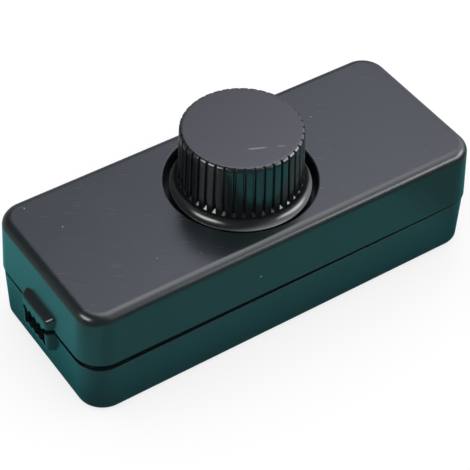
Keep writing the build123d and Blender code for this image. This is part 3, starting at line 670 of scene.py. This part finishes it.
def black_plastic(name, low, high, rough, dust_points=(), smears=(), marks=True, matt_well=False, ior=1.5):
    """Black moulded plastic with a fine moulded grain, rub marks on top and a little dust."""
    m = Nodes(name)
    broad = m.noise(m.p, 0.09, 3.0, 0.55)
    fine = m.noise(m.p, 2.6, 2.0, 0.5)
    colour = m.mix(broad, low, high)
    roughness = m.math("ADD", m.remap(broad, 0.3, 0.7, rough - 0.02, rough + 0.025), m.remap(fine, 0.3, 0.7, -0.012, 0.012))
    top = m.remap(m.split(m.normal())[2], 0.9, 0.98)
    marks_total = None
    if marks:
        area = m.remap(m.noise(m.p, 0.06, 2.0), 0.38, 0.62, 0.25, 1.0)
        layers = [
            scratches(m, 35, 9.0, 0.30, 0.035, 3.1),
            scratches(m, 27, 6.0, 0.26, 0.030, 11.7),
            scratches(m, 46, 13.0, 0.22, 0.018, 21.3),
            scratches(m, -12, 7.0, 0.24, 0.010, 31.9),
            scratches(m, 78, 5.0, 0.24, 0.008, 43.3),
        ]
        total = layers[0]
        for layer in layers[1:]:
            total = m.math("MAXIMUM", total, layer)
        marks_total = m.math("MULTIPLY", m.math("MULTIPLY", total, top), area)
        dust = m.math("MULTIPLY", specks(m, 5.5, 0.10, 0.08, 5.0), m.math("MULTIPLY", top, 0.55))
    else:
        dust = m.math("MULTIPLY", specks(m, 4.0, 0.09, 0.03, 9.0), m.math("MULTIPLY", top, 0.55))
    for centre, radius in dust_points:
        dust = m.math("MAXIMUM", dust, spot(m, centre, radius))
    if marks_total is not None:
        colour = m.mix(m.math("MULTIPLY", marks_total, 0.5), colour, (0.17, 0.17, 0.19))
        roughness = m.math("ADD", roughness, m.math("MULTIPLY", marks_total, 0.12))
    for a, b, width, amount in smears:
        s = m.math("MULTIPLY", smear(m, a, b, width), amount)
        colour = m.mix(s, colour, (0.30, 0.30, 0.33))
        roughness = m.math("ADD", roughness, m.math("MULTIPLY", s, 0.3))
    colour = m.mix(m.math("MULTIPLY", dust, 0.8), colour, (0.48, 0.50, 0.54))
    roughness = m.math("ADD", roughness, m.math("MULTIPLY", dust, 0.5), clamp=True)
    m.put(m.shader.inputs["Base Color"], colour)
    m.put(m.shader.inputs["Roughness"], roughness)
    m.shader.inputs["IOR"].default_value = ior
    if matt_well:
        place = m.split(m.p)
        across = m.math("ADD", m.math("MULTIPLY", place[0], place[0]), m.math("MULTIPLY", place[1], place[1]))
        inside = m.math("MULTIPLY", m.math("LESS_THAN", across, 14.2**2), m.math("LESS_THAN", place[2], HEIGHT - 0.35))
        m.put(m.shader.inputs["Specular IOR Level"], m.remap(inside, 0.0, 1.0, 0.5, 0.08))
    height = m.math("ADD", m.math("MULTIPLY", fine, 0.6), m.math("MULTIPLY", m.noise(m.p, 7.0, 1.0), 0.4))
    m.bump(height, 0.10, 0.00002)
    return m.material


def metal(name, low, high, rough, grain=(0.6, 0.6, 8.0), bump=0.05):
    """Plain worked metal: drawn grain in one direction, cloudy plating."""
    m = Nodes(name)
    streak = m.noise(m.mapping(m.p, scale=grain), 1.6, 3.0, 0.6)
    cloud = m.noise(m.p, 0.5, 3.0, 0.6)
    m.put(m.shader.inputs["Base Color"], m.mix(cloud, low, high))
    m.shader.inputs["Metallic"].default_value = 1.0
    m.put(
        m.shader.inputs["Roughness"],
        m.math("ADD", m.remap(streak, 0.3, 0.7, rough - 0.06, rough + 0.06), m.remap(cloud, 0.3, 0.7, -0.03, 0.03)),
    )
    m.bump(streak, bump, 0.00003)
    return m.material


def moulded(name, low, high, rough, scale=3.0, strength=0.12):
    """Plain moulded or sintered matter with a soft mottle."""
    m = Nodes(name)
    cloud = m.noise(m.p, 0.35, 3.0, 0.6)
    fine = m.noise(m.p, scale, 3.0, 0.6)
    m.put(m.shader.inputs["Base Color"], m.mix(m.math("ADD", m.math("MULTIPLY", cloud, 0.6), m.math("MULTIPLY", fine, 0.4)), low, high))
    m.put(m.shader.inputs["Roughness"], m.remap(fine, 0.3, 0.7, rough - 0.05, rough + 0.05))
    m.bump(fine, strength, 0.00004)
    return m.material


def board_material():
    """Green solder mask with brighter runs of copper under it and a pale laminate edge."""
    m = Nodes("circuit_board_mask")
    s = m.split(m.p)
    cell = m.voronoi(m.mapping(m.p, scale=(0.16, 0.22, 1.0)), "2D")
    runs = m.remap(cell.outputs["Distance"], 0.30, 0.34, 1.0, 0.0)
    weave = m.noise(m.mapping(m.p, scale=(1.0, 1.0, 0.2)), 3.0, 2.0)
    green = m.mix(m.math("MULTIPLY", runs, 0.8), (0.012, 0.085, 0.03), (0.03, 0.16, 0.05))
    green = m.mix(m.remap(weave, 0.35, 0.65, 0.0, 0.3), green, (0.008, 0.06, 0.022))
    up = m.math("ABSOLUTE", m.split(m.normal())[2])
    colour = m.mix(m.remap(up, 0.3, 0.6), (0.42, 0.38, 0.20), green)
    m.put(m.shader.inputs["Base Color"], colour)
    m.put(m.shader.inputs["Roughness"], m.remap(weave, 0.3, 0.7, 0.28, 0.40))
    m.bump(runs, 0.15, 0.00005)
    _ = s
    return m.material


def banded(name, body, bands, centre_x, half_length, rough):
    """A lacquered body with colour rings along X; every body's middle is in centre_x."""
    m = Nodes(name)
    x = m.split(m.p)[0]
    near = None
    for cx in centre_x:
        d = m.math("ABSOLUTE", m.math("SUBTRACT", x, cx))
        rel = m.math("SUBTRACT", x, cx)
        inside = m.math("LESS_THAN", d, half_length + 0.02)
        value = m.math("MULTIPLY", m.math("ADD", rel, half_length), 1 / (2 * half_length))
        value = m.math("MULTIPLY", value, inside)
        near = value if near is None else m.math("ADD", near, value)
        is_body = inside if cx == centre_x[0] else m.math("MAXIMUM", is_body, inside)
    stops = [(0.0, body)]
    for start, end, col in bands:
        stops += [(start, col), (end, body)]
    colour = m.ramp(near, stops, constant=True)
    fine = m.noise(m.p, 4.0, 2.0)
    colour = m.mix(m.remap(fine, 0.3, 0.7, 0.0, 0.15), colour, (0.25, 0.2, 0.14))
    colour = m.mix(is_body, (0.6, 0.6, 0.6), colour)
    m.put(m.shader.inputs["Base Color"], colour)
    m.put(m.shader.inputs["Metallic"], m.math("SUBTRACT", 1.0, is_body))
    m.put(m.shader.inputs["Roughness"], m.remap(fine, 0.3, 0.7, rough - 0.04, rough + 0.04))
    m.bump(fine, 0.05, 0.00003)
    return m.material


def winding_material():
    """Enamelled copper wire in close turns along Z."""
    m = Nodes("enamelled_copper")
    z = m.split(m.p)[2]
    turn = m.math("PINGPONG", z, 0.23)
    ridge = m.remap(turn, 0.0, 0.23, 0.0, 1.0, smooth=True)
    cloud = m.noise(m.p, 1.2, 3.0, 0.6)
    colour = m.mix(cloud, (0.42, 0.13, 0.045), (0.66, 0.26, 0.09))
    # painted shade: the colour darkens to near black in the grooves between turns
    colour = m.mix(m.remap(ridge, 0.0, 0.35, 0.75, 0.0), colour, (0.07, 0.02, 0.01))
    m.put(m.shader.inputs["Base Color"], colour)
    m.shader.inputs["Metallic"].default_value = 0.85
    m.put(m.shader.inputs["Roughness"], m.remap(cloud, 0.3, 0.7, 0.25, 0.36))
    m.bump(ridge, 0.8, 0.00012)
    return m.material


def triac_material():
    """Black epoxy body; the tab behind it and the legs are tinned."""
    m = Nodes("triac_epoxy_and_tab")
    s = m.split(m.p)
    low = m.math("LESS_THAN", s[2], 11.72)
    behind = m.math("GREATER_THAN", s[1], 1.72)
    legs = m.math("LESS_THAN", s[1], -7.52)
    metal_part = m.math("MAXIMUM", m.math("MULTIPLY", low, behind), legs)
    fine = m.noise(m.p, 3.5, 3.0, 0.6)
    black = m.mix(fine, (0.012, 0.012, 0.013), (0.024, 0.024, 0.026))
    tin = m.mix(m.noise(m.p, 0.7, 3.0), (0.55, 0.55, 0.57), (0.72, 0.72, 0.74))
    m.put(m.shader.inputs["Base Color"], m.mix(metal_part, black, tin))
    m.put(m.shader.inputs["Metallic"], metal_part)
    m.put(m.shader.inputs["Roughness"], m.math("SUBTRACT", m.remap(fine, 0.3, 0.7, 0.5, 0.6), m.math("MULTIPLY", metal_part, 0.22)))
    m.bump(fine, 0.15, 0.00005)
    return m.material


def glass_material():
    m = Nodes("fuse_glass")
    fine = m.noise(m.p, 0.8, 2.0)
    m.put(m.shader.inputs["Base Color"], m.mix(fine, (0.90, 0.96, 0.95), (0.97, 0.99, 0.99)))
    m.shader.inputs["Transmission Weight"].default_value = 1.0
    m.shader.inputs["IOR"].default_value = 1.5
    m.put(m.shader.inputs["Roughness"], m.remap(fine, 0.3, 0.7, 0.02, 0.06))
    return m.material


CASE_DUST = (
    ((-36.9, 14.1, HEIGHT), 0.16),
    ((-33.5, 6.4, HEIGHT), 0.15),
    ((-23.6, -9.2, HEIGHT), 0.12),
    ((20.6, 6.9, HEIGHT), 0.14),
    ((10.8, -10.2, HEIGHT), 0.12),
    ((-7.1, -17.24, 16.4), 0.14),
)

KNOB_DUST = ()
KNOB_SMEARS = (
    ((-2.84, -5.11, KNOB_TOP), (0.94, -6.86, KNOB_TOP), 0.25, 0.55),
    ((2.15, -7.27, KNOB_TOP), (3.77, -8.20, KNOB_TOP), 0.2, 0.35),
)

# The faint green-blue tint of the case's base colours is a painted reflection of the green-blue table; the plastic
# itself is black.
case_material = black_plastic(
    "case_black_plastic", (0.0058, 0.0108, 0.0116), (0.0078, 0.0132, 0.0142), 0.24, CASE_DUST, matt_well=True
)
knob_material = black_plastic(
    "knob_black_plastic", (0.0045, 0.0062, 0.0070), (0.0062, 0.0080, 0.0088), 0.22, KNOB_DUST, KNOB_SMEARS, marks=False, ior=1.58
)


def assign(ob, material):
    ob.data.materials.clear()
    ob.data.materials.append(material)


assign(upper, case_material)
assign(lower, case_material)
assign(knob, knob_material)

steel = metal("zinc_plated_steel", (0.52, 0.52, 0.53), (0.66, 0.66, 0.67), 0.32)
aluminium = metal("turned_aluminium", (0.68, 0.68, 0.69), (0.80, 0.80, 0.81), 0.30, (0.4, 0.4, 9.0))
sheet_metal = metal("sheet_aluminium", (0.66, 0.66, 0.67), (0.78, 0.78, 0.79), 0.38, (8.0, 0.5, 0.5))
brass = metal("spring_brass", (0.62, 0.43, 0.16), (0.76, 0.56, 0.24), 0.30, (0.5, 6.0, 0.5))
die_cast = metal("plated_die_cast", (0.50, 0.50, 0.51), (0.62, 0.62, 0.63), 0.36, (1.0, 1.0, 1.0), 0.10)
tinned = metal("tinned_metal", (0.60, 0.60, 0.62), (0.76, 0.76, 0.78), 0.27, (0.8, 0.8, 4.0))

NODE_MATERIALS = {
    "potentiometer_shaft": aluminium,
    "potentiometer_rotor": moulded("black_phenolic", (0.014, 0.013, 0.013), (0.032, 0.030, 0.029), 0.5),
    "potentiometer_wiper": brass,
    "shaft_clip": steel,
    "potentiometer_housing": steel,
    "potentiometer_bushing": die_cast,
    "potentiometer_track": moulded("paper_laminate", (0.20, 0.095, 0.035), (0.34, 0.17, 0.07), 0.55, 5.0),
    "potentiometer_terminals": tinned,
    "potentiometer_washer": steel,
    "potentiometer_nut": steel,
    "circuit_board": board_material(),
    "triac": triac_material(),
    "heat_sink": sheet_metal,
    "triac_screw": steel,
    "triac_nut": steel,
    "suppression_capacitor": moulded("yellow_capacitor_case", (0.62, 0.42, 0.02), (0.78, 0.56, 0.05), 0.42),
    "timing_capacitor": moulded("red_dipped_capacitor", (0.28, 0.022, 0.010), (0.44, 0.045, 0.02), 0.28, 1.2, 0.25),
    "choke_core": moulded("sintered_ferrite", (0.032, 0.032, 0.035), (0.062, 0.062, 0.066), 0.55, 6.0, 0.25),
    "choke_winding": winding_material(),
    "diac": banded("diac_blue_glass", (0.03, 0.10, 0.38), [(0.12, 0.24, (0.01, 0.01, 0.02))], (0.0,), 2.0, 0.22),
    "resistors": banded(
        "resistor_lacquer",
        (0.55, 0.38, 0.20),
        [
            (0.14, 0.22, (0.22, 0.08, 0.02)),
            (0.32, 0.40, (0.02, 0.02, 0.02)),
            (0.48, 0.56, (0.60, 0.22, 0.02)),
            (0.76, 0.84, (0.55, 0.38, 0.06)),
        ],
        (-5.4, 4.9),
        3.15,
        0.35,
    ),
    "fuse_tube": glass_material(),
    "fuse_caps": tinned,
    "fuse_clips": brass,
    "input_terminal_block": moulded("green_nylon", (0.020, 0.150, 0.040), (0.035, 0.215, 0.065), 0.42),
    "terminal_clamps": brass,
    "terminal_screws": steel,
    "board_screws": steel,
    "case_screws": metal("dark_zinc_screws", (0.42, 0.42, 0.43), (0.55, 0.55, 0.56), 0.35, (1.0, 1.0, 5.0)),
}
NODE_MATERIALS["output_terminal_block"] = NODE_MATERIALS["input_terminal_block"]
for node, material in NODE_MATERIALS.items():
    assign(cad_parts[node], material)
for node in ("upper_cover", "lower_cover"):
    assign(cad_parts[node], case_material)
assign(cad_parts["knob"], knob_material)


# -------------------------------------------------------------------- stage
def emission_material(name):
    m = Nodes(name)
    m.tree.nodes.remove(m.shader)
    m.shader = m.tree.nodes.new("ShaderNodeEmission")
    m.tree.links.new(m.shader.outputs[0], m.out.inputs[0])
    return m


def flat_sheet(name, half, y_low, y_high, z):
    verts = [(-half, y_low, z), (half, y_low, z), (half, y_high, z), (-half, y_high, z)]
    mesh = bpy.data.meshes.new(name)
    mesh.from_pydata(verts, [], [(0, 1, 2, 3)])
    ob = bpy.data.objects.new(name, mesh)
    scene.collection.objects.link(ob)
    return ob


floor = flat_sheet("floor", 4.0, -4.0, 4.0, 0.0)
fm = Nodes("pale_floor")
cloud = fm.noise(fm.p, 0.004, 2.0)
fm.put(fm.shader.inputs["Base Color"], fm.mix(cloud, (0.315, 0.315, 0.315), (0.325, 0.325, 0.325)))
fm.shader.inputs["Emission Color"].default_value = (1.0, 1.0, 1.0, 1.0)
fm.shader.inputs["Emission Strength"].default_value = 0.70
fm.shader.inputs["Roughness"].default_value = 0.9
fm.shader.inputs["Specular IOR Level"].default_value = 0.0
floor.data.materials.append(fm.material)
floor.visible_glossy = False

# What the glossy walls mirror from below: a glowing green-blue sheet in place of a lit table top, seen only in
# reflections. Its glow carries a painted contact shadow around the case and painted light falloff towards both ends.
table = flat_sheet("mirrored_table", 0.0665, -0.11, 0.0415, -0.0003)
tm = emission_material("mirrored_table_glow")
xyz = tm.split(tm.p)
dx = tm.math("MAXIMUM", tm.math("SUBTRACT", tm.math("ABSOLUTE", xyz[0]), END - 1.0), 0.0)
dy = tm.math("MAXIMUM", tm.math("SUBTRACT", tm.math("ABSOLUTE", xyz[1]), WIDTH / 2 - 1.0), 0.0)
away = tm.math("SQRT", tm.math("ADD", tm.math("MULTIPLY", dx, dx), tm.math("MULTIPLY", dy, dy)))
# painted contact shadow: the sheet's glow darkens towards the case's footprint
table_glow_painted_shadow = tm.ramp(
    tm.remap(away, 0.0, 24.0),
    [
        (0.0, (0.016, 0.16, 0.19)),
        (0.10, (0.035, 0.27, 0.29)),
        (0.20, (0.05, 0.37, 0.39)),
        (0.40, (0.10, 0.50, 0.52)),
        (0.70, (0.115, 0.55, 0.565)),
        (1.0, (0.12, 0.56, 0.57)),
    ],
)
tm.put(tm.shader.inputs["Color"], table_glow_painted_shadow)
# painted light falloff: the glow is brighter beyond the left end and dimmer beyond the right end
left_painted_light_gain = tm.remap(xyz[0], -(END + 9.0), -(END + 2.0), 1.35, 1.0)
right_painted_light_falloff = tm.remap(xyz[0], 38.0, 46.0, 1.0, 0.55)
tm.put(tm.shader.inputs["Strength"], tm.math("MULTIPLY", left_painted_light_gain, right_painted_light_falloff))
table.data.materials.append(tm.material)
for flag in ("visible_camera", "visible_diffuse", "visible_transmission", "visible_shadow", "visible_volume_scatter"):
    setattr(table, flag, False)


# -------------------------------------------------------------------- light
world = bpy.data.worlds.new("studio")
scene.world = world
world.use_nodes = True
world.cycles.sampling_method = "NONE"
wt = world.node_tree
wt.nodes.clear()


class WorldNodes(Nodes):
    def __init__(self, tree):
        self.tree = tree
        coord = tree.nodes.new("ShaderNodeTexCoord")
        norm = tree.nodes.new("ShaderNodeVectorMath")
        norm.operation = "NORMALIZE"
        tree.links.new(coord.outputs["Generated"], norm.inputs[0])
        self.p = norm.outputs[0]


def direction(az, el):
    a, e = radians(az), radians(el)
    return Vector((cos(a) * cos(e), sin(a) * cos(e), sin(e)))


w = WorldNodes(wt)
comp = w.split(w.p)


def softbox(az, el, half_w, half_h, edge, radiance):
    """A soft-edged rectangular light in one direction, angles in degrees."""
    c = direction(az, el)
    right = Vector((0, 0, 1)).cross(c).normalized()
    up = c.cross(right)
    front = w.vector("DOT_PRODUCT", w.p, tuple(c))
    safe = w.math("MAXIMUM", front, 0.05)
    u = w.math("ABSOLUTE", w.math("DIVIDE", w.vector("DOT_PRODUCT", w.p, tuple(right)), safe))
    v = w.math("ABSOLUTE", w.math("DIVIDE", w.vector("DOT_PRODUCT", w.p, tuple(up)), safe))
    tu, tv, te = tan(radians(half_w)), tan(radians(half_h)), tan(radians(edge))
    mu = w.remap(u, tu - te, tu + te, 1.0, 0.0, smooth=True)
    mv = w.remap(v, tv - te, tv + te, 1.0, 0.0, smooth=True)
    on = w.math("GREATER_THAN", front, 0.05)
    value = w.math("MULTIPLY", w.math("MULTIPLY", mu, mv), w.math("MULTIPLY", on, radiance))
    return value


# overhead panel: brightest straight above and to the right, fading towards the back, the left and the camera
t_back = w.vector("DOT_PRODUCT", w.p, (0.1, -1.0, 0.0))
panel = w.ramp(
    w.remap(t_back, -1.0, 1.0),
    [
        (0.05, (0.048, 0.048, 0.060)),
        (0.17, (0.090, 0.090, 0.118)),
        (0.19, (0.150, 0.151, 0.194)),
        (0.21, (0.230, 0.232, 0.292)),
        (0.225, (0.330, 0.332, 0.408)),
        (0.24, (0.450, 0.452, 0.540)),
        (0.30, (0.660, 0.660, 0.744)),
        (0.50, (0.960, 0.960, 1.0)),
    ],
)
to_right = w.math("MAXIMUM", w.math("MULTIPLY", w.math("SUBTRACT", comp[0], 0.37), 0.8), 0.0)
near_side = w.ramp(
    w.remap(w.math("ADD", comp[1], to_right), -1.0, 1.0),
    [
        (0.05, (0.05, 0.05, 0.05)),
        (0.20, (0.20, 0.20, 0.20)),
        (0.34, (0.40, 0.40, 0.40)),
        (0.50, (0.85, 0.85, 0.85)),
        (0.575, (1.0, 1.0, 1.0)),
    ],
)
left_side = w.remap(comp[0], -0.20, 0.25, 0.0, 1.0, smooth=True)
right_side = w.remap(comp[0], 0.484, 0.534, 1.0, 0.5)
far_right = w.remap(w.vector("DOT_PRODUCT", w.p, (0.34, 1.0, 0.0)), 0.735, 0.765, 0.0, 0.27)
far_right = w.math("MULTIPLY", far_right, w.remap(comp[0], 0.40, 0.46))
right_side = w.math("MULTIPLY", right_side, w.math("SUBTRACT", 1.0, far_right))
high = w.remap(comp[2], 0.0, 0.30, 0.0, 1.0, smooth=True)
amount = w.math("MULTIPLY", w.math("MULTIPLY", near_side, left_side), w.math("MULTIPLY", right_side, high))
panel_node = wt.nodes.new("ShaderNodeVectorMath")
panel_node.operation = "SCALE"
wt.links.new(panel, panel_node.inputs[0])
wt.links.new(w.math("MULTIPLY", amount, 5.0), panel_node.inputs["Scale"])

boxes = [
    softbox(180, 34, 17, 9, 6, 11.0),
    softbox(-34, 28, 22, 9, 1.5, 8.3),
]
total = boxes[0]
for b in boxes[1:]:
    total = w.math("ADD", total, b)
horizon = w.math("MULTIPLY", w.remap(comp[2], 0.02, 0.35, 1.0, 0.0), w.remap(comp[1], -0.1, 0.3))
total = w.math("ADD", total, w.math("MULTIPLY", horizon, 0.28))
total = w.math("ADD", total, 0.16)
grey = wt.nodes.new("ShaderNodeCombineXYZ")
for i in range(3):
    wt.links.new(total, grey.inputs[i])
upper_sky = w.vector("ADD", panel_node.outputs[0], grey.outputs[0])
is_up = w.remap(comp[2], -0.12, 0.02)
below = w.mix(w.remap(comp[1], -0.3, 0.3), (0.17, 0.18, 0.19), (0.42, 0.43, 0.44))
sky_mix = w.mix(is_up, below, upper_sky)

path = wt.nodes.new("ShaderNodeLightPath")
bg_soft = wt.nodes.new("ShaderNodeBackground")
bg_soft.inputs["Color"].default_value = (1.0, 1.0, 1.0, 1.0)
bg_soft.inputs["Strength"].default_value = 1.06
bg_gloss = wt.nodes.new("ShaderNodeBackground")
wt.links.new(sky_mix, bg_gloss.inputs["Color"])
bg_gloss.inputs["Strength"].default_value = 1.0
mix_shader = wt.nodes.new("ShaderNodeMixShader")
wt.links.new(path.outputs["Is Glossy Ray"], mix_shader.inputs[0])
wt.links.new(bg_soft.outputs[0], mix_shader.inputs[1])
wt.links.new(bg_gloss.outputs[0], mix_shader.inputs[2])
world_out = wt.nodes.new("ShaderNodeOutputWorld")
wt.links.new(mix_shader.outputs[0], world_out.inputs[0])

scene.view_settings.view_transform = "Standard"
scene.view_settings.look = "None"
scene.view_settings.exposure = 0.0
scene.view_settings.gamma = 1.0


# ------------------------------------------------------------------- camera
az, el, roll = -0.6112, 0.7813, 0.0283
back = Vector((sin(az) * cos(el), -cos(az) * cos(el), sin(el)))
eye = Vector((0.004315, 0.007448, 0.0)) + back * 0.33393
right = Vector((0, 0, 1)).cross(back).normalized()
up = back.cross(right)
cam_right = cos(roll) * right + sin(roll) * up
cam_up = -sin(roll) * right + cos(roll) * up
camera_data = bpy.data.cameras.new("camera")
camera_data.sensor_width = 36.0
camera_data.lens = 131.30
camera_data.clip_start = 0.01
camera_data.clip_end = 50.0
camera = bpy.data.objects.new("camera", camera_data)
scene.collection.objects.link(camera)
camera.matrix_world = Matrix(
    (
        (cam_right.x, cam_up.x, back.x, eye.x),
        (cam_right.y, cam_up.y, back.y, eye.y),
        (cam_right.z, cam_up.z, back.z, eye.z),
        (0, 0, 0, 1),
    )
)
scene.camera = camera

bpy.context.view_layer.update()
